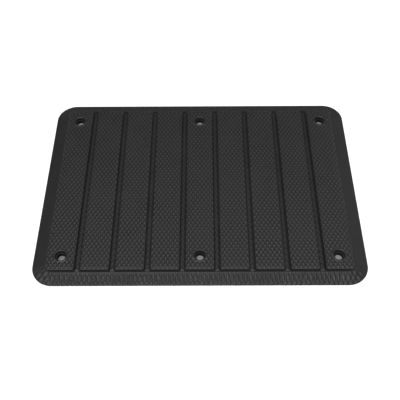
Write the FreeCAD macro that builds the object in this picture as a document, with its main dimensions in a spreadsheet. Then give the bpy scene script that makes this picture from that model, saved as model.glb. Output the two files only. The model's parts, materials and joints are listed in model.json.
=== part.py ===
import FreeCAD, Part
import os

import Sketcher

# Snowboard stomp pad: a laminated foam traction pad that sticks to the board's top sheet.
# Frame: +X along the long side, -Y towards the front edge, +Z up. The origin is the centre
# of the underside of the release liner, which is what the pad lies on. Lengths are in mm.

DIMENSIONS = {
    "pad_length": 200.0,      # X, over the foot of the border
    "pad_width": 144.0,       # Y, over the foot of the border
    "corner_round": 13.0,
    "edge_inset": 0.5,        # how far the film and the liner stay inside the foam's edge
    "liner_thick": 0.15,      # siliconed paper
    "liner_slit": 0.3,        # between the liner's two pieces
    "slit_offset": 10.375,    # from the centre, so that the slit misses the screw holes
    "release_gap": 0.02,      # the liner's silicone face, which does not bond
    "film_thick": 0.18,       # pressure-sensitive adhesive film
    "base_thick": 2.85,       # lower foam layer, up to the groove floors
    "border_run": 7.6,        # plan width of the border's bevel
    "border_drop": 2.1,       # height of the bevel, above the upright lip
    "strip_pitch": 20.75,
    "strip_width": 17.4,
    "strip_length": 127.0,
    "strip_thick": 1.8,       # tread foam above the groove floors
    "strip_corner": 1.1,
    "strip_edge_round": 0.7,
    "bore_radius": 2.4,       # through the base and the film; clears a 4 mm screw's shank
    "seat_radius": 3.2,       # through the tread foam; sinks the screw's head
    "seat_rim": 0.5,          # chamfer round each seat's mouth
    "hole_row_pitch": 108.0,  # between the front and the back row of holes
}

STRIP_COUNT = 9
MIDDLE_STRIP = 5
HOLE_STRIPS = (1, 5, 9)

FILM_HEIGHT = "Dimensions.liner_thick + Dimensions.release_gap"
BASE_HEIGHT = FILM_HEIGHT + " + Dimensions.film_thick"
STRIP_HEIGHT = BASE_HEIGHT + " + Dimensions.base_thick"

INSET_LENGTH = "Dimensions.pad_length - 2 * Dimensions.edge_inset"
INSET_WIDTH = "Dimensions.pad_width - 2 * Dimensions.edge_inset"
INSET_ROUND = "Dimensions.corner_round - Dimensions.edge_inset"

UP = FreeCAD.Vector(0, 0, 1)
# Numbers that the sketcher uses for a line's or an arc's ends and centre, and for the origin.
START, END, CENTRE = 1, 2, 3
ORIGIN = (-1, 1)

doc = FreeCAD.newDocument("stomp_pad")
sheet = doc.addObject("Spreadsheet::Sheet", "Dimensions")
for row, (alias, size) in enumerate(DIMENSIONS.items(), start=1):
    sheet.set(f"A{row}", alias)
    sheet.set(f"B{row}", str(size))
    sheet.setAlias(f"B{row}", alias)
doc.recompute()


def number(expression):
    """The present value of an expression over the sheet."""
    return float(sheet.evalExpression(expression))


def column_x(strip):
    """The X of a strip's centre line, as an expression."""
    return f"{strip - MIDDLE_STRIP} * Dimensions.strip_pitch"


def new_body(name, height, x="0"):
    body = doc.addObject("PartDesign::Body", name)
    body.Label = name
    body.setExpression("Placement.Base.x", x)
    body.setExpression("Placement.Base.z", height)
    return body


def new_sketch(body, name):
    """A sketch on the body's own XY plane."""
    sketch = body.newObject("Sketcher::SketchObject", f"{body.Name}_{name}")
    plane = next(f for f in body.Origin.OriginFeatures if f.Role == "XY_Plane")
    sketch.AttachmentSupport = [(plane, "")]
    sketch.MapMode = "FlatFace"
    return sketch


def dimension(sketch, kind, expression, *places):
    """Adds a dimension to the sketch and ties it to the sheet."""
    index = sketch.addConstraint(Sketcher.Constraint(kind, *places, number(expression)))
    sketch.setExpression(f"Constraints[{index}]", expression)


def draw_rounded_rectangle(sketch, length, width, corner):
    """A rectangle centred on the origin, whose four corners are quarter circles."""
    half_x, half_y, radius = number(length) / 2, number(width) / 2, number(corner)
    turn = FreeCAD.Rotation(UP, 90)
    quarter = FreeCAD.Units.parseQuantity("90 deg").getValueAs("rad").Value
    sides, arcs = [], []
    for k in range(4):
        # Every second side is seen with the two half sizes changed over.
        along, out = (half_x, half_y) if k % 2 == 0 else (half_y, half_x)
        ends = [FreeCAD.Vector(-along + radius, -out, 0), FreeCAD.Vector(along - radius, -out, 0)]
        centre = FreeCAD.Vector(along - radius, -out + radius, 0)
        for _ in range(k):
            ends = [turn.multVec(end) for end in ends]
            centre = turn.multVec(centre)
        sides.append(sketch.addGeometry(Part.LineSegment(*ends)))
        circle = Part.Circle(centre, UP, radius)
        arcs.append(sketch.addGeometry(Part.ArcOfCircle(circle, (k - 1) * quarter, k * quarter)))
    for k in range(4):
        following = sides[(k + 1) % 4]
        sketch.addConstraint(Sketcher.Constraint("Tangent", sides[k], END, arcs[k], START))
        sketch.addConstraint(Sketcher.Constraint("Tangent", arcs[k], END, following, START))
        direction = "Horizontal" if k % 2 == 0 else "Vertical"
        sketch.addConstraint(Sketcher.Constraint(direction, sides[k]))
    for arc in arcs[1:]:
        sketch.addConstraint(Sketcher.Constraint("Equal", arcs[0], arc))
    sketch.addConstraint(Sketcher.Constraint("Symmetric", arcs[0], CENTRE, arcs[2], CENTRE, *ORIGIN))
    dimension(sketch, "Radius", corner, arcs[0])
    dimension(sketch, "DistanceX", length, sides[3], START, sides[1], START)
    dimension(sketch, "DistanceY", width, sides[0], START, sides[2], START)


def draw_holes(sketch, columns, size):
    """A front and a back circle in each column; its X and the radius are expressions."""
    for x in columns:
        for y in ("-Dimensions.hole_row_pitch / 2", "Dimensions.hole_row_pitch / 2"):
            centre = FreeCAD.Vector(number(x), number(y), 0)
            circle = sketch.addGeometry(Part.Circle(centre, UP, number(size)))
            dimension(sketch, "Radius", size, circle)
            dimension(sketch, "DistanceX", x, *ORIGIN, circle, CENTRE)
            dimension(sketch, "DistanceY", y, *ORIGIN, circle, CENTRE)


def draw_half_plane(sketch, side):
    """A rectangle over all that lies on the given side, -1 or 1, of the slit, and over the slit."""
    near = f"Dimensions.slit_offset - {side} * Dimensions.liner_slit / 2"
    far = f"{side} * Dimensions.pad_length"
    half_y = "Dimensions.pad_width"
    corners = [(near, "-" + half_y), (far, "-" + half_y), (far, half_y), (near, half_y)]
    points = [FreeCAD.Vector(number(x), number(y), 0) for x, y in corners]
    lines = [sketch.addGeometry(Part.LineSegment(points[k], points[(k + 1) % 4])) for k in range(4)]
    for k in range(4):
        joined = (lines[k], END, lines[(k + 1) % 4], START)
        sketch.addConstraint(Sketcher.Constraint("Coincident", *joined))
        direction = "Horizontal" if k % 2 == 0 else "Vertical"
        sketch.addConstraint(Sketcher.Constraint(direction, lines[k]))
    for k in (0, 2):
        dimension(sketch, "DistanceX", corners[k][0], *ORIGIN, lines[k], START)
        dimension(sketch, "DistanceY", corners[k][1], *ORIGIN, lines[k], START)


def add_pad(body, sketch, thickness):
    pad = body.newObject("PartDesign::Pad", f"{body.Name}_pad")
    pad.Profile = sketch
    pad.setExpression("Length", thickness)
    doc.recompute()
    return pad


def add_pocket(body, sketch, name):
    """Cuts the sketch upwards through the whole body, and checks that material went."""
    before = body.Shape.Volume
    pocket = body.newObject("PartDesign::Pocket", f"{body.Name}_{name}")
    pocket.Profile = sketch
    pocket.Type = "ThroughAll"
    pocket.Reversed = True
    doc.recompute()
    if body.Shape.Volume >= before:
        raise RuntimeError(f"{pocket.Name} cuts nothing")
    return pocket


def edges_at(feature, height, is_wanted=lambda edge: True):
    """The names of a feature's edges that lie wholly at one height."""
    names = []
    for index, edge in enumerate(feature.Shape.Edges, start=1):
        level = edge.BoundBox.ZMin > height - 0.001 and edge.BoundBox.ZMax < height + 0.001
        if level and is_wanted(edge):
            names.append(f"Edge{index}")
    return names


def is_seat_edge(edge):
    is_circle = isinstance(edge.Curve, Part.Circle)
    return is_circle and abs(edge.Curve.Radius - number("Dimensions.seat_radius")) < 0.001


def make_base_pad():
    """The lower foam layer: an upright lip at its foot, and a bevel up to the groove floors."""
    body = new_body("base_pad", BASE_HEIGHT)
    outline = new_sketch(body, "outline")
    draw_rounded_rectangle(
        outline, "Dimensions.pad_length", "Dimensions.pad_width", "Dimensions.corner_round"
    )
    pad = add_pad(body, outline, "Dimensions.base_thick")
    bevel = body.newObject("PartDesign::Chamfer", "base_pad_border")
    bevel.Base = (pad, edges_at(pad, number("Dimensions.base_thick")))
    bevel.ChamferType = "Two distances"
    bevel.setExpression("Size", "Dimensions.border_drop")
    bevel.setExpression("Size2", "Dimensions.border_run")
    doc.recompute()
    bores = new_sketch(body, "bores")
    draw_holes(bores, [column_x(strip) for strip in HOLE_STRIPS], "Dimensions.bore_radius")
    add_pocket(body, bores, "bore_cut")
    return body


def make_tread_strip(strip):
    """A raised strip of tread foam with a rounded top edge; some have two screw seats."""
    body = new_body(f"tread_strip_{strip}", STRIP_HEIGHT, column_x(strip))
    outline = new_sketch(body, "outline")
    draw_rounded_rectangle(
        outline, "Dimensions.strip_width", "Dimensions.strip_length", "Dimensions.strip_corner"
    )
    pad = add_pad(body, outline, "Dimensions.strip_thick")
    top = number("Dimensions.strip_thick")
    round_over = body.newObject("PartDesign::Fillet", f"{body.Name}_round_over")
    round_over.Base = (pad, edges_at(pad, top))
    round_over.setExpression("Radius", "Dimensions.strip_edge_round")
    doc.recompute()
    if strip in HOLE_STRIPS:
        seats = new_sketch(body, "seats")
        draw_holes(seats, ["0"], "Dimensions.seat_radius")
        cut = add_pocket(body, seats, "seat_cut")
        rim = body.newObject("PartDesign::Chamfer", f"{body.Name}_seat_rim")
        rim.Base = (cut, edges_at(cut, top, is_seat_edge))
        rim.setExpression("Size", "Dimensions.seat_rim")
        doc.recompute()
    return body


def make_bonding_film():
    """The adhesive film under the whole base."""
    body = new_body("bonding_film", FILM_HEIGHT)
    outline = new_sketch(body, "outline")
    draw_rounded_rectangle(outline, INSET_LENGTH, INSET_WIDTH, INSET_ROUND)
    add_pad(body, outline, "Dimensions.film_thick")
    bores = new_sketch(body, "bores")
    draw_holes(bores, [column_x(strip) for strip in HOLE_STRIPS], "Dimensions.bore_radius")
    add_pocket(body, bores, "bore_cut")
    return body


def make_liner(name, side):
    """The release liner's piece on the left (-1) or the right (1) of the slit.

    The foam and the film are kiss-cut on the liner, so it stays whole below the screw holes.
    """
    body = new_body(name, "0")
    outline = new_sketch(body, "outline")
    draw_rounded_rectangle(outline, INSET_LENGTH, INSET_WIDTH, INSET_ROUND)
    add_pad(body, outline, "Dimensions.liner_thick")
    other_side = new_sketch(body, "other_side")
    draw_half_plane(other_side, -side)
    add_pocket(body, other_side, "slit_cut")
    return body


sub_parts = [make_base_pad()]
sub_parts += [make_tread_strip(strip) for strip in range(1, STRIP_COUNT + 1)]
sub_parts += [make_bonding_film()]
sub_parts += [make_liner("release_liner_left", -1), make_liner("release_liner_right", 1)]
doc.recompute()

for item in doc.Objects:
    if "Invalid" in item.State or "Error" in item.State:
        raise RuntimeError(f"{item.Name} failed: {item.State}")
for body in sub_parts:
    shape = body.Shape
    if shape.isNull() or not shape.isValid() or len(shape.Solids) != 1:
        raise RuntimeError(f"{body.Label} is not one valid solid")

os.makedirs("parts", exist_ok=True)
for body in sub_parts:
    body.Shape.exportStep(os.path.join("parts", f"{body.Label}.step"))
    box = body.Shape.BoundBox
    print(f"{body.Label}: {body.Shape.Volume:.1f} mm3, z {box.ZMin:.2f} to {box.ZMax:.2f}")
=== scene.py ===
import json
import math

import bmesh
import bpy
import numpy as np
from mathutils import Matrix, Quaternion, Vector


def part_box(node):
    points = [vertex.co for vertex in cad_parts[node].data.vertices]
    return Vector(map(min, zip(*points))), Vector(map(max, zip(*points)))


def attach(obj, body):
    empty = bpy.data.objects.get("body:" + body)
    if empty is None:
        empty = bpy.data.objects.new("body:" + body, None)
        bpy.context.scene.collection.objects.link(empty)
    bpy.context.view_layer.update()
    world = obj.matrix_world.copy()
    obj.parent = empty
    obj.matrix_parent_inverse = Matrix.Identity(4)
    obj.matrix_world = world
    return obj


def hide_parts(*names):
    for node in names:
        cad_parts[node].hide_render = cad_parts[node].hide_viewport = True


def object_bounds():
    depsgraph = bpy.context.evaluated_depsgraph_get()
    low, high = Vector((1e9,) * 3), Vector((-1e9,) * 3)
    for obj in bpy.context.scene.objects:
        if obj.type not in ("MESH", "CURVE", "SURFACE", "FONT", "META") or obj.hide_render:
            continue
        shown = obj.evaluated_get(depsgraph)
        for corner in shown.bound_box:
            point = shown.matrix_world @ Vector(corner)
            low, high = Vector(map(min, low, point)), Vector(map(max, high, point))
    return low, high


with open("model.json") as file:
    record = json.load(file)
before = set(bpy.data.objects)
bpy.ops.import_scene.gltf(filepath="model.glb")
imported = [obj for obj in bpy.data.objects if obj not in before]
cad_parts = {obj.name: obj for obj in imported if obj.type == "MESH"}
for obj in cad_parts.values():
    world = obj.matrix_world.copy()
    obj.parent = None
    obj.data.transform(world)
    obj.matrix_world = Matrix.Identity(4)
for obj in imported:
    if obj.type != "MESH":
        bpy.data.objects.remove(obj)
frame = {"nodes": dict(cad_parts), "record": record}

# A black foam stomp pad: a base layer with a bevelled border, nine raised tread strips, and
# an adhesive film with a split release liner underneath. Lengths are in metres; each piece
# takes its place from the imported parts.

cad_low, cad_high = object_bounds()

MM = 0.001
STRIPS = [f"tread_strip_{k}" for k in range(1, 10)]

# The screw holes, from the record's mounts.
mounts = {mount["name"]: mount for mount in frame["record"]["mounts"]}
hole_pattern = mounts["corner_screw_holes"]["dims"]
BORE_RADIUS = hole_pattern["hole_r_mm"] * MM
HOLE_ROW_Y = hole_pattern["spacing_y_mm"] * MM / 2
HOLE_COLUMN_X = hole_pattern["spacing_x_mm"] * MM / 2
HOLE_ROWS = (-HOLE_ROW_Y, HOLE_ROW_Y)
HOLE_COLUMNS = (-HOLE_COLUMN_X, 0, HOLE_COLUMN_X)

# The embossed tread: raised diamonds between two families of crossing V-grooves.
DIAMOND_LENGTH = 4.26 * MM       # along the strips
DIAMOND_WIDTH = 2.72 * MM
EMBOSS_DEPTH = 0.36 * MM
EMBOSS_SHARE = 0.34              # half a groove's width, as a share of the grooves' spacing
EMBOSS_SHADE = 0.8               # painted shade in the emboss's grooves; a recess's walls get the full painted shade
EMBOSS_CELLS = 10                # mesh cells to a diamond, each way
CELL_X = DIAMOND_WIDTH / EMBOSS_CELLS
CELL_Y = DIAMOND_LENGTH / EMBOSS_CELLS
END_CLEARANCE = 0.4              # of a cell, between the last mesh line and an end

# The foam's slow unevenness: waves, each by its cycles a metre along x and y and its phase.
UNEVEN_DEPTH = 0.03 * MM
UNEVEN_WAVES = (
    (15.25, 10.75, 0.3),
    (-9.25, 29.5, 1.9),
    (37.25, -20.75, 4.1),
    (55.75, 42.75, 2.7),
)

# The tread strips.
STRIP_CORNER = 1.1 * MM          # the corner's radius in plan
STRIP_ROUND = 0.7 * MM           # the top edge's radius
CORNER_TURNS = 6                 # mesh faces round a corner
ROLL_WIDTH = 2.4 * MM            # the top sinks a little towards a strip's edges
ROLL_DROP = 0.35 * MM
OUTER_WIDTH = 4.5 * MM           # and more towards the pad's own two sides
OUTER_DROP = 0.8 * MM
EDGE_PLAIN = 0.15 * MM           # the emboss starts to fade this far past the inner rectangle
EDGE_FADE = 1.0 * MM             # and fades over this length
SEAT_RADIUS = 3.2 * MM           # of the wider hole through the tread strips
RIM_ROUND = 0.75 * MM            # the soft lip round each hole's mouth
RIM_FADE = 0.7 * MM              # how fast the emboss starts beyond the lip
RIM_MARGIN = 0.8 * MM            # room between the lip and the square mesh
RIM_RINGS = 5                    # rings of mesh in that room
ROUND_STEPS = np.radians((15, 30, 45, 60, 75, 90))

# The base layer.
BORDER_RUN = 7.6 * MM            # the bevel's width
BORDER_DROP = 2.1 * MM           # and its height
BORDER_CORNER = 13.0 * MM
BORDER_RINGS = 17                # mesh faces down the bevel
BORDER_TURNS = 43                # and round each of its corners
BORDER_STRETCH = 1.8             # how far the emboss is drawn out over the bevel
BORDER_EMBOSS = 0.15             # the emboss is faint at the sides and the back
FRONT_EMBOSS = 1.0               # and plainer on the front bevel
BORDER_TOP_FADE = 0.8 * MM       # how fast it starts below the top of the bevel
BORDER_FOOT_FADE = 1.0 * MM      # and ends above the foot
STREAK_SHADE = 0.93              # painted shade in the streaks between the drawn-out diamonds
STREAK_WANDER = 0.5 * MM         # how far the drawn-out streaks stray
STREAK_PITCH = 6                 # and how much faster than the foam's slow unevenness
FOOT_START = 0.93                # the share of the bevel above its rounded foot
FOOT_ROUND = 0.35 * MM
BORE_SIDES = 96
GROOVE_EMBOSS = 0.5              # the emboss is shallower on the groove floors
CREASE_DEPTH = 0.45 * MM         # where the groove floors meet the strips
CREASE_WIDTH = 1.15 * MM
TUCK = 0.25 * MM                 # how far the groove floors reach under the strips

FLAT_TOLERANCE = 1e-7
SHARP_ANGLE = math.radians(50)

# The looks.
FOAM_CREST = (0.0062, 0.0062, 0.0063)
# the foam's colour darkened, as painted shade, for its recesses, creases and walls
FOAM_PAINTED_SHADE = (0.003, 0.003, 0.0031)
FOAM_WORN = tuple(1.35 * channel for channel in FOAM_CREST)
FOAM_SPECK = tuple(1.8 * channel for channel in FOAM_CREST)
FOAM_ROUGHNESS = (0.5, 0.62)
RECESS_ROUGHNESS = 0.95
BASE_SHINE = 0.34
TREAD_SHINE = 0.42
PAPER_DARK = (0.14, 0.14, 0.141)
PAPER_PALE = (0.18, 0.18, 0.181)
PAPER_FIBRE = (0.11, 0.11, 0.112)
FILM_DARK = (0.34, 0.33, 0.3)
FILM_PALE = (0.42, 0.41, 0.38)
FLOOR_COLOUR = (0.93, 0.93, 0.93, 1.0)

# The studio and the camera.
FLOOR_SIZE = 4.0
FLOOR_GAP = 0.1 * MM             # keeps the floor's face off the liner's
SKY_COLOUR = (1.0, 1.0, 1.0, 1.0)
SKY_STRENGTH = 0.2
CAMERA_ELEVATION = math.radians(54.31)
CAMERA_AZIMUTH = math.radians(0.38)
CAMERA_ROLL = math.radians(-0.53)
CAMERA_DISTANCE = 0.4107
CAMERA_AIM = Vector((0.0001, -0.0101, 0.0))
CAMERA_SENSOR = 36.0             # in millimetres, as is the lens
CAMERA_LENS = 57.6


def smooth_step(value):
    """0 up to 0 and 1 from 1 on, with a smooth rise between."""
    value = np.clip(value, 0.0, 1.0)
    return value * value * (3.0 - 2.0 * value)


def emboss(x, y):
    """How deep the tread's V-grooves are at a place, from 0 on a diamond's crest to 1."""
    across, along = x / DIAMOND_WIDTH, y / DIAMOND_LENGTH
    nearest = 0.5
    for phase in (across + along, across - along):
        nearest = np.minimum(nearest, np.abs(phase - np.round(phase)))
    return 1.0 - smooth_step(nearest / EMBOSS_SHARE)


def unevenness(x, y):
    """The foam's slow unevenness, from -1 to 1."""
    heights = [np.sin(2 * math.pi * (a * x + b * y) + phase) for a, b, phase in UNEVEN_WAVES]
    return sum(heights) / len(heights)


class Shell:
    """Collects the points and faces of one closed foam piece, and each point's painted shade."""

    def __init__(self):
        self.points, self.relief, self.faces = [], [], []

    def add(self, x, y, z, relief=0.0):
        """Adds points and gives their numbers, with the painted shade of each: 0 on a crest, 1
        in a recess.
        """
        x, y, z, relief = np.broadcast_arrays(x, y, z, relief)
        first = len(self.points)
        self.points.extend(np.stack((x, y, z), axis=-1).reshape(-1, 3).tolist())
        self.relief.extend(relief.reshape(-1).tolist())
        return np.arange(first, len(self.points)).reshape(x.shape)

    def face(self, *corners):
        """A face with its repeated corners taken out, if three are left."""
        distinct = [c for k, c in enumerate(corners) if c != corners[k - 1]]
        if len(distinct) > 2:
            self.faces.append(distinct)

    def bridge(self, ring, next_ring):
        """Faces between two closed rings of as many points."""
        for k in range(len(ring)):
            self.face(ring[k - 1], ring[k], next_ring[k], next_ring[k - 1])

    def grid(self, index, gaps=()):
        """Faces over a grid of points, but for the blocks (i0, i1, j0, j1) in gaps."""
        rows, columns = index.shape
        for j in range(rows - 1):
            for i in range(columns - 1):
                if any(i0 <= i < i1 and j0 <= j < j1 for i0, i1, j0, j1 in gaps):
                    continue
                self.face(index[j, i], index[j, i + 1], index[j + 1, i + 1], index[j + 1, i])

    def build(self, name, flat_levels, material):
        """Makes the object, and fills the open outlines that lie at the given heights."""
        mesh = bpy.data.meshes.new(name)
        mesh.from_pydata(self.points, [], [tuple(int(c) for c in face) for face in self.faces])
        bm = bmesh.new()
        bm.from_mesh(mesh)
        for level in flat_levels:
            rims = [
                e for e in bm.edges
                if e.is_boundary and all(abs(v.co.z - level) < FLAT_TOLERANCE for v in e.verts)
            ]
            bmesh.ops.triangle_fill(bm, edges=rims, normal=(0, 0, 1))
        bmesh.ops.recalc_face_normals(bm, faces=bm.faces)
        bm.to_mesh(mesh)
        bm.free()
        # each point's painted shade, which the foam material turns into a darker colour and a
        # rougher skin
        mesh.attributes.new("relief", "FLOAT", "POINT").data.foreach_set("value", self.relief)
        mesh.shade_smooth()
        mesh.set_sharp_from_angle(angle=SHARP_ANGLE)
        mesh.materials.append(material)
        piece = bpy.data.objects.new(name, mesh)
        bpy.context.scene.collection.objects.link(piece)
        return piece


def lattice_lines(low, high, cell):
    """The emboss's own mesh lines between two ends, and the ends themselves."""
    first = math.ceil(low / cell + END_CLEARANCE)
    last = math.floor(high / cell - END_CLEARANCE)
    return np.concatenate(([low], np.arange(first, last + 1) * cell, [high]))


def block_outline(index, block):
    """The points round a block of a grid, anticlockwise."""
    i0, i1, j0, j1 = block
    return np.concatenate((
        index[j0, i0:i1], index[j0:j1, i1], index[j1, i1:i0:-1], index[j1:j0:-1, i0]
    ))


def rectangle_stations(index, turns):
    """Each point round a grid, with its outward direction; a corner is there several times."""
    sides = (index[0, :], index[:, -1], index[-1, ::-1], index[::-1, 0])
    numbers, directions = [], []
    for side, outward in zip(sides, (-90, 0, 90, 180)):
        numbers.extend(side[:-1])
        directions.extend([outward] * (len(side) - 1))
        fan = np.linspace(outward, outward + 90, turns + 1)[:-1]
        numbers.extend([side[-1]] * len(fan))
        directions.extend(fan)
    angles = np.radians(directions)
    return np.array(numbers), np.cos(angles), np.sin(angles)


def make_strip(name, material):
    """A tread strip: embossed top, rounded edge, upright sides, and holes in three of them."""
    low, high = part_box(name)
    shell = Shell()
    xs = lattice_lines(low.x + STRIP_CORNER, high.x - STRIP_CORNER, CELL_X)
    ys = lattice_lines(low.y + STRIP_CORNER, high.y - STRIP_CORNER, CELL_Y)
    grid_x, grid_y = np.meshgrid(xs, ys)
    middle = (low.x + high.x) / 2
    has_holes = min(abs(middle - x) for x in HOLE_COLUMNS) < MM
    holes = [(middle, y) for y in HOLE_ROWS] if has_holes else []
    outer_side = math.copysign(1.0, middle) if abs(middle) > HOLE_COLUMN_X - MM else 0.0

    def top(x, y, outside=0.0):
        """Height and painted shade of the top face; outside is how far past the inner rectangle.
        """
        fade = 1.0 - smooth_step((outside - EDGE_PLAIN) / EDGE_FADE)
        for hole_x, hole_y in holes:
            from_rim = np.hypot(x - hole_x, y - hole_y) - SEAT_RADIUS - RIM_ROUND
            fade = fade * smooth_step(from_rim / RIM_FADE)
        depth = emboss(x, y) * fade
        lumps = (1.0 + unevenness(x, y)) * UNEVEN_DEPTH * fade
        from_side = np.minimum(x - low.x, high.x - x)
        from_edge = np.minimum(from_side, np.minimum(y - low.y, high.y - y))
        roll = ROLL_DROP * np.clip(1.0 - from_edge / ROLL_WIDTH, 0.0, 1.0) ** 2
        if outer_side:
            from_border = (high.x - low.x) / 2 - outer_side * (x - middle)
            roll = roll + OUTER_DROP * np.clip(1.0 - from_border / OUTER_WIDTH, 0.0, 1.0) ** 2
        # the emboss's grooves get painted shade
        return high.z - EMBOSS_DEPTH * depth - lumps - roll, EMBOSS_SHADE * depth

    index = shell.add(grid_x, grid_y, *top(grid_x, grid_y))
    mouth = SEAT_RADIUS + RIM_ROUND
    reach = mouth + RIM_MARGIN
    blocks = []
    for hole_x, hole_y in holes:
        i0, i1 = np.searchsorted(xs, (hole_x - reach, hole_x + reach))
        j0, j1 = np.searchsorted(ys, (hole_y - reach, hole_y + reach))
        blocks.append((i0 - 1, i1, j0 - 1, j1))
    shell.grid(index, blocks)

    # Each hole: the mesh turns from square to round, and goes over the lip and down.
    for block, (hole_x, hole_y) in zip(blocks, holes):
        ring = block_outline(index, block)
        start = np.array([shell.points[number] for number in ring])
        angle = np.arctan2(start[:, 1] - hole_y, start[:, 0] - hole_x)
        far = np.hypot(start[:, 0] - hole_x, start[:, 1] - hole_y)
        for share in np.linspace(0, 1, RIM_RINGS + 1)[1:]:
            radius = far + (mouth - far) * share
            x, y = hole_x + radius * np.cos(angle), hole_y + radius * np.sin(angle)
            inner = shell.add(x, y, *top(x, y))
            shell.bridge(ring, inner)
            ring = inner
        profile = [
            (mouth - RIM_ROUND * math.sin(bend), RIM_ROUND * (1 - math.cos(bend)))
            for bend in ROUND_STEPS
        ]
        profile += [(SEAT_RADIUS, high.z - low.z)]
        # the lip and the hole's wall get painted shade, darker going down
        for radius, drop in profile:
            x, y = hole_x + radius * np.cos(angle), hole_y + radius * np.sin(angle)
            inner = shell.add(x, y, high.z - drop, smooth_step(drop / RIM_ROUND))
            shell.bridge(ring, inner)
            ring = inner

    # The edge: a little more of the top, the rounding, and the side down to the base.
    ring, out_x, out_y = rectangle_stations(index, CORNER_TURNS)
    base = np.array([shell.points[number] for number in ring])
    flat = STRIP_CORNER - STRIP_ROUND
    profile = [(flat * share, 0.0) for share in (0.35, 0.7, 1.0)]
    profile += [
        (flat + STRIP_ROUND * math.sin(bend), STRIP_ROUND * (1 - math.cos(bend)))
        for bend in ROUND_STEPS
    ]
    profile += [(STRIP_CORNER, high.z - low.z)]
    toward_border = smooth_step(outer_side * out_x)
    for outside, drop in profile:
        x, y = base[:, 0] + out_x * outside, base[:, 1] + out_y * outside
        height, relief = top(x, y, outside)
        # painted shade on the lower half of the rounding and on the side, but not on the outer
        # strips' outer sides
        side_relief = smooth_step(2.0 * drop / STRIP_ROUND - 1.0) * (1.0 - toward_border)
        relief = np.maximum(relief, side_relief)
        outer = shell.add(x, y, np.maximum(height - drop, low.z), relief)
        shell.bridge(ring, outer)
        ring = outer
    return shell.build(name + "_foam", [low.z], material)


def border_stations(half_x, half_y, radius):
    """Points round the top of the bevel, with their outward directions."""
    xs = lattice_lines(-half_x + radius, half_x - radius, CELL_X)
    ys = lattice_lines(-half_y + radius, half_y - radius, CELL_Y)
    sides = (
        (xs, np.full(len(xs), -half_y), -90),
        (np.full(len(ys), half_x), ys, 0),
        (xs[::-1], np.full(len(xs), half_y), 90),
        (np.full(len(ys), -half_x), ys[::-1], 180),
    )
    places = []
    for side_x, side_y, outward in sides:
        places += [(x, y, outward) for x, y in zip(side_x, side_y)]
        turn = math.radians(outward)
        centre_x = side_x[-1] - radius * math.cos(turn)
        centre_y = side_y[-1] - radius * math.sin(turn)
        for degrees in np.linspace(outward, outward + 90, BORDER_TURNS + 1)[1:-1]:
            angle = math.radians(degrees)
            x, y = centre_x + radius * math.cos(angle), centre_y + radius * math.sin(angle)
            places.append((x, y, degrees))
    x, y, degrees = np.array(places).T
    angles = np.radians(degrees)
    return x, y, np.cos(angles), np.sin(angles)


def add_border(shell, half_x, half_y, high, low):
    """The bevel and the upright lip at its foot."""
    x, y, out_x, out_y = border_stations(half_x, half_y, BORDER_CORNER - BORDER_RUN)
    # painted shade along the top of the bevel at the front and back, fading out towards the
    # sides
    ring = shell.add(x, y, high, smooth_step(np.abs(out_y)))
    slope = math.hypot(BORDER_RUN, BORDER_DROP)
    for share in np.linspace(0, 1, BORDER_RINGS + 1)[1:]:
        outside = BORDER_RUN * share
        sheet_x = x + out_x * slope * share / BORDER_STRETCH
        sheet_y = y + out_y * slope * share / BORDER_STRETCH
        wander = STREAK_WANDER * unevenness(STREAK_PITCH * sheet_x, STREAK_PITCH * sheet_y)
        sheet_x, sheet_y = sheet_x + wander, sheet_y - wander
        fade = smooth_step(share * slope / BORDER_TOP_FADE)
        fade = fade * smooth_step((1 - share) * slope / BORDER_FOOT_FADE)
        fade = fade * (BORDER_EMBOSS + (FRONT_EMBOSS - BORDER_EMBOSS) * smooth_step(-out_y))
        depth = emboss(sheet_x, sheet_y) * fade
        lumps = (1.0 + unevenness(sheet_x, sheet_y)) * UNEVEN_DEPTH * fade
        sag = FOOT_ROUND * smooth_step((share - FOOT_START) / (1.0 - FOOT_START))
        height = high - BORDER_DROP * share - EMBOSS_DEPTH * depth - lumps - sag
        # the bevel's streaks get painted shade
        outer = shell.add(x + out_x * outside, y + out_y * outside, height, STREAK_SHADE * depth)
        shell.bridge(ring, outer)
        ring = outer
    foot = shell.add(x + out_x * BORDER_RUN, y + out_y * BORDER_RUN, low)
    shell.bridge(ring, foot)


def make_base(material):
    """The base layer: groove floors, bevelled border, lip, and holes right through."""
    low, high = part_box("base_pad")
    shell = Shell()
    half_x, half_y = high.x - BORDER_RUN, high.y - BORDER_RUN
    add_border(shell, half_x, half_y, high.z, low.z)

    edges = [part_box(name) for name in STRIPS]
    for (_, left), (right, _) in zip(edges, edges[1:]):
        xs = lattice_lines(left.x - TUCK, right.x + TUCK, CELL_X)
        ys = lattice_lines(-half_y + TUCK, half_y - TUCK, CELL_Y)
        grid_x, grid_y = np.meshgrid(xs, ys)
        inside = np.minimum(grid_x - xs[0], xs[-1] - grid_x)
        inside = np.minimum(inside, np.minimum(grid_y - ys[0], ys[-1] - grid_y))
        crease = 1.0 - smooth_step((inside - TUCK) / CREASE_WIDTH)
        depth = emboss(grid_x, grid_y) * (1.0 - crease) * GROOVE_EMBOSS
        drop = EMBOSS_DEPTH * depth + CREASE_DEPTH * crease * smooth_step(inside / TUCK)
        # painted shade in the emboss's grooves and, in full, in the creases at the strips' feet
        relief = np.maximum(EMBOSS_SHADE * depth, crease)
        shell.grid(shell.add(grid_x, grid_y, high.z - drop, relief))

    angles = np.linspace(0, 2 * math.pi, BORE_SIDES, endpoint=False)
    for hole_x in HOLE_COLUMNS:
        for hole_y in HOLE_ROWS:
            x = hole_x + BORE_RADIUS * np.cos(angles)
            y = hole_y + BORE_RADIUS * np.sin(angles)
            # the bores' walls get full painted shade
            shell.bridge(shell.add(x, y, high.z, 1.0), shell.add(x, y, low.z, 1.0))
    return shell.build("base_foam", [high.z, low.z], material)


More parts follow.
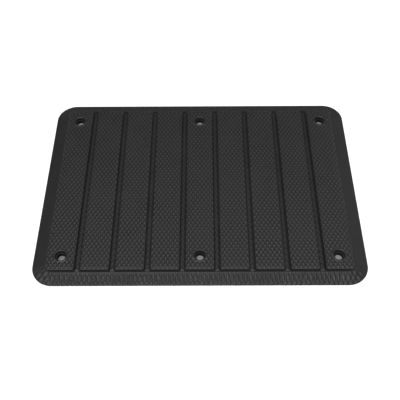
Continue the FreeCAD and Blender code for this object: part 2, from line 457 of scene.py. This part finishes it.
def add_node(tree, kind, values=None, **settings):
    """A shader node with some of its settings and unlinked inputs."""
    node = tree.nodes.new("ShaderNode" + kind)
    for key, value in settings.items():
        setattr(node, key, value)
    for key, value in (values or {}).items():
        node.inputs[key].default_value = value
    return node


def new_material(name):
    """A material, its node tree and its shader."""
    material = bpy.data.materials.new(name)
    material.use_nodes = True
    tree = material.node_tree
    return material, tree, tree.nodes["Principled BSDF"]


def map_range(tree, source, given, wanted):
    """source, taken from the range it is given in to the range wanted."""
    limits = dict(zip(("From Min", "From Max", "To Min", "To Max"), (*given, *wanted)))
    node = add_node(tree, "MapRange", limits)
    tree.links.new(source, node.inputs["Value"])
    return node.outputs["Result"]


def mix_colours(tree, factor, first, second):
    """A mix of two colours or sockets."""
    node = add_node(tree, "Mix", data_type="RGBA")
    tree.links.new(factor, node.inputs["Factor"])
    for key, colour in (("A", first), ("B", second)):
        socket = next(s for s in node.inputs if s.name == key and s.type == "RGBA")
        if isinstance(colour, tuple):
            socket.default_value = (*colour, 1.0)
        else:
            tree.links.new(colour, socket)
    return next(s for s in node.outputs if s.type == "RGBA")


def foam_material(name, shine):
    """Closed-cell foam: matte skin with a fine grain, rougher in its recesses and darkened there
    as painted shade.
    """
    material, tree, shader = new_material(name)
    place = add_node(tree, "TexCoord").outputs["Object"]
    relief = add_node(tree, "Attribute", attribute_name="relief").outputs["Fac"]
    mottle = add_node(tree, "TexNoise", {"Scale": 90.0, "Detail": 6.0, "Roughness": 0.6})
    grain = add_node(tree, "TexNoise", {"Scale": 3200.0, "Detail": 3.0, "Roughness": 0.65})
    cells = add_node(tree, "TexVoronoi", {"Scale": 2600.0})
    for texture in (mottle, grain, cells):
        tree.links.new(place, texture.inputs["Vector"])

    # painted shade: the colour darkens from the crest colour in the recesses
    shade = mix_colours(tree, relief, FOAM_CREST, FOAM_PAINTED_SHADE)
    patches = map_range(tree, mottle.outputs["Fac"], (0.35, 0.75), (0.0, 0.5))
    colour = mix_colours(tree, patches, shade, FOAM_WORN)
    specks = map_range(tree, grain.outputs["Fac"], (0.5, 0.8), (0.0, 0.3))
    colour = mix_colours(tree, specks, colour, FOAM_SPECK)
    tree.links.new(colour, shader.inputs["Base Color"])

    skin = map_range(tree, mottle.outputs["Fac"], (0.3, 0.7), FOAM_ROUGHNESS)
    walls = map_range(tree, relief, (EMBOSS_SHADE, 1.0), (0.0, 1.0))
    rough = add_node(tree, "Mix", {"B": RECESS_ROUGHNESS}, data_type="FLOAT")
    tree.links.new(walls, rough.inputs["Factor"])
    tree.links.new(skin, rough.inputs["A"])
    tree.links.new(rough.outputs["Result"], shader.inputs["Roughness"])

    fine = add_node(tree, "Bump", {"Strength": 0.15, "Distance": 0.06 * MM})
    tree.links.new(grain.outputs["Fac"], fine.inputs["Height"])
    pores = add_node(tree, "Bump", {"Strength": 0.12, "Distance": 0.05 * MM})
    tree.links.new(cells.outputs["Distance"], pores.inputs["Height"])
    tree.links.new(fine.outputs["Normal"], pores.inputs["Normal"])
    tree.links.new(pores.outputs["Normal"], shader.inputs["Normal"])
    shader.inputs["Specular IOR Level"].default_value = shine
    return material


def paper_material():
    """Siliconed release paper: grey, with fibres and a satin face."""
    material, tree, shader = new_material("release_paper")
    place = add_node(tree, "TexCoord").outputs["Object"]
    stretch = add_node(tree, "Mapping", {"Scale": (1.0, 5.0, 1.0)})
    tree.links.new(place, stretch.inputs["Vector"])
    fibres = add_node(tree, "TexNoise", {"Scale": 900.0, "Detail": 8.0, "Roughness": 0.7})
    clouds = add_node(tree, "TexNoise", {"Scale": 70.0, "Detail": 4.0})
    tree.links.new(stretch.outputs["Vector"], fibres.inputs["Vector"])
    tree.links.new(place, clouds.inputs["Vector"])
    tone = map_range(tree, clouds.outputs["Fac"], (0.35, 0.65), (0.0, 1.0))
    colour = mix_colours(tree, tone, PAPER_DARK, PAPER_PALE)
    fibre_tone = map_range(tree, fibres.outputs["Fac"], (0.5, 0.8), (0.0, 0.35))
    colour = mix_colours(tree, fibre_tone, colour, PAPER_FIBRE)
    tree.links.new(colour, shader.inputs["Base Color"])
    rough = map_range(tree, clouds.outputs["Fac"], (0.3, 0.7), (0.32, 0.46))
    tree.links.new(rough, shader.inputs["Roughness"])
    bump = add_node(tree, "Bump", {"Strength": 0.3, "Distance": 0.03 * MM})
    tree.links.new(fibres.outputs["Fac"], bump.inputs["Height"])
    tree.links.new(bump.outputs["Normal"], shader.inputs["Normal"])
    return material


def adhesive_material():
    """Milky acrylic adhesive film, with tiny bubbles and slow ripples."""
    material, tree, shader = new_material("adhesive_film")
    place = add_node(tree, "TexCoord").outputs["Object"]
    ripples = add_node(tree, "TexNoise", {"Scale": 160.0, "Detail": 3.0})
    bubbles = add_node(tree, "TexVoronoi", {"Scale": 1300.0})
    tree.links.new(place, ripples.inputs["Vector"])
    tree.links.new(place, bubbles.inputs["Vector"])
    tone = map_range(tree, ripples.outputs["Fac"], (0.35, 0.65), (0.0, 1.0))
    colour = mix_colours(tree, tone, FILM_DARK, FILM_PALE)
    tree.links.new(colour, shader.inputs["Base Color"])
    rough = map_range(tree, bubbles.outputs["Distance"], (0.0, 1.0), (0.14, 0.3))
    tree.links.new(rough, shader.inputs["Roughness"])
    bump = add_node(tree, "Bump", {"Strength": 0.35, "Distance": 0.04 * MM})
    tree.links.new(ripples.outputs["Fac"], bump.inputs["Height"])
    tree.links.new(bump.outputs["Normal"], shader.inputs["Normal"])
    return material


def floor_material():
    """Matte white."""
    material, _, shader = new_material("white_floor")
    shader.inputs["Base Color"].default_value = FLOOR_COLOUR
    shader.inputs["Roughness"].default_value = 0.9
    shader.inputs["Specular IOR Level"].default_value = 0.1
    return material


def dress(node, material):
    """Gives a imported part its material."""
    part = frame["nodes"][node]
    part.data.materials.clear()
    part.data.materials.append(material)


def softbox(name, place, size, power):
    """A square area light that is aimed at the pad."""
    light = bpy.data.lights.new(name, "AREA")
    light.shape = "RECTANGLE"
    light.size = size
    light.size_y = size
    light.energy = power
    lamp = bpy.data.objects.new(name, light)
    lamp.location = place
    lamp.rotation_mode = "QUATERNION"
    lamp.rotation_quaternion = (-Vector(place)).to_track_quat("-Z", "Y")
    bpy.context.scene.collection.objects.link(lamp)


def light_studio():
    """A weak sky, a key light overhead and a little in front, and a weak one behind right."""
    world = bpy.data.worlds.new("studio")
    world.use_nodes = True
    sky = world.node_tree.nodes["Background"]
    sky.inputs["Color"].default_value = SKY_COLOUR
    sky.inputs["Strength"].default_value = SKY_STRENGTH
    bpy.context.scene.world = world
    softbox("key", place=(-0.12, -0.32, 1.25), size=0.75, power=23.0)
    softbox("fill", place=(0.9, 0.5, 0.6), size=0.6, power=1.9)


def lay_floor():
    bpy.ops.mesh.primitive_plane_add(size=FLOOR_SIZE, location=(0.0, 0.0, cad_low.z - FLOOR_GAP))
    floor = bpy.context.object
    floor.name = "floor"
    floor.data.materials.append(floor_material())


def place_camera():
    """Looks down at the pad from in front, at about 54 degrees."""
    back = Vector((
        math.sin(CAMERA_AZIMUTH) * math.cos(CAMERA_ELEVATION),
        -math.cos(CAMERA_AZIMUTH) * math.cos(CAMERA_ELEVATION),
        math.sin(CAMERA_ELEVATION),
    ))
    data = bpy.data.cameras.new("camera")
    data.sensor_width = CAMERA_SENSOR
    data.lens = CAMERA_LENS
    data.clip_start = 0.01
    data.clip_end = 10.0
    camera = bpy.data.objects.new("camera", data)
    camera.location = CAMERA_AIM + back * CAMERA_DISTANCE
    camera.rotation_mode = "QUATERNION"
    level = (-back).to_track_quat("-Z", "Y")
    camera.rotation_quaternion = level @ Quaternion((0.0, 0.0, 1.0), CAMERA_ROLL)
    bpy.context.scene.collection.objects.link(camera)
    bpy.context.scene.camera = camera


place_camera()
lay_floor()
light_studio()
bpy.context.scene.view_settings.view_transform = "Standard"

base_foam = foam_material("base_foam", BASE_SHINE)
tread_foam = foam_material("tread_foam", TREAD_SHINE)

base = make_base(base_foam)
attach(base, "pad")
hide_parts("base_pad")
for strip in STRIPS:
    piece = make_strip(strip, tread_foam)
    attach(piece, "pad")
    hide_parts(strip)

paper = paper_material()
dress("release_liner_left", paper)
dress("release_liner_right", paper)
dress("bonding_film", adhesive_material())
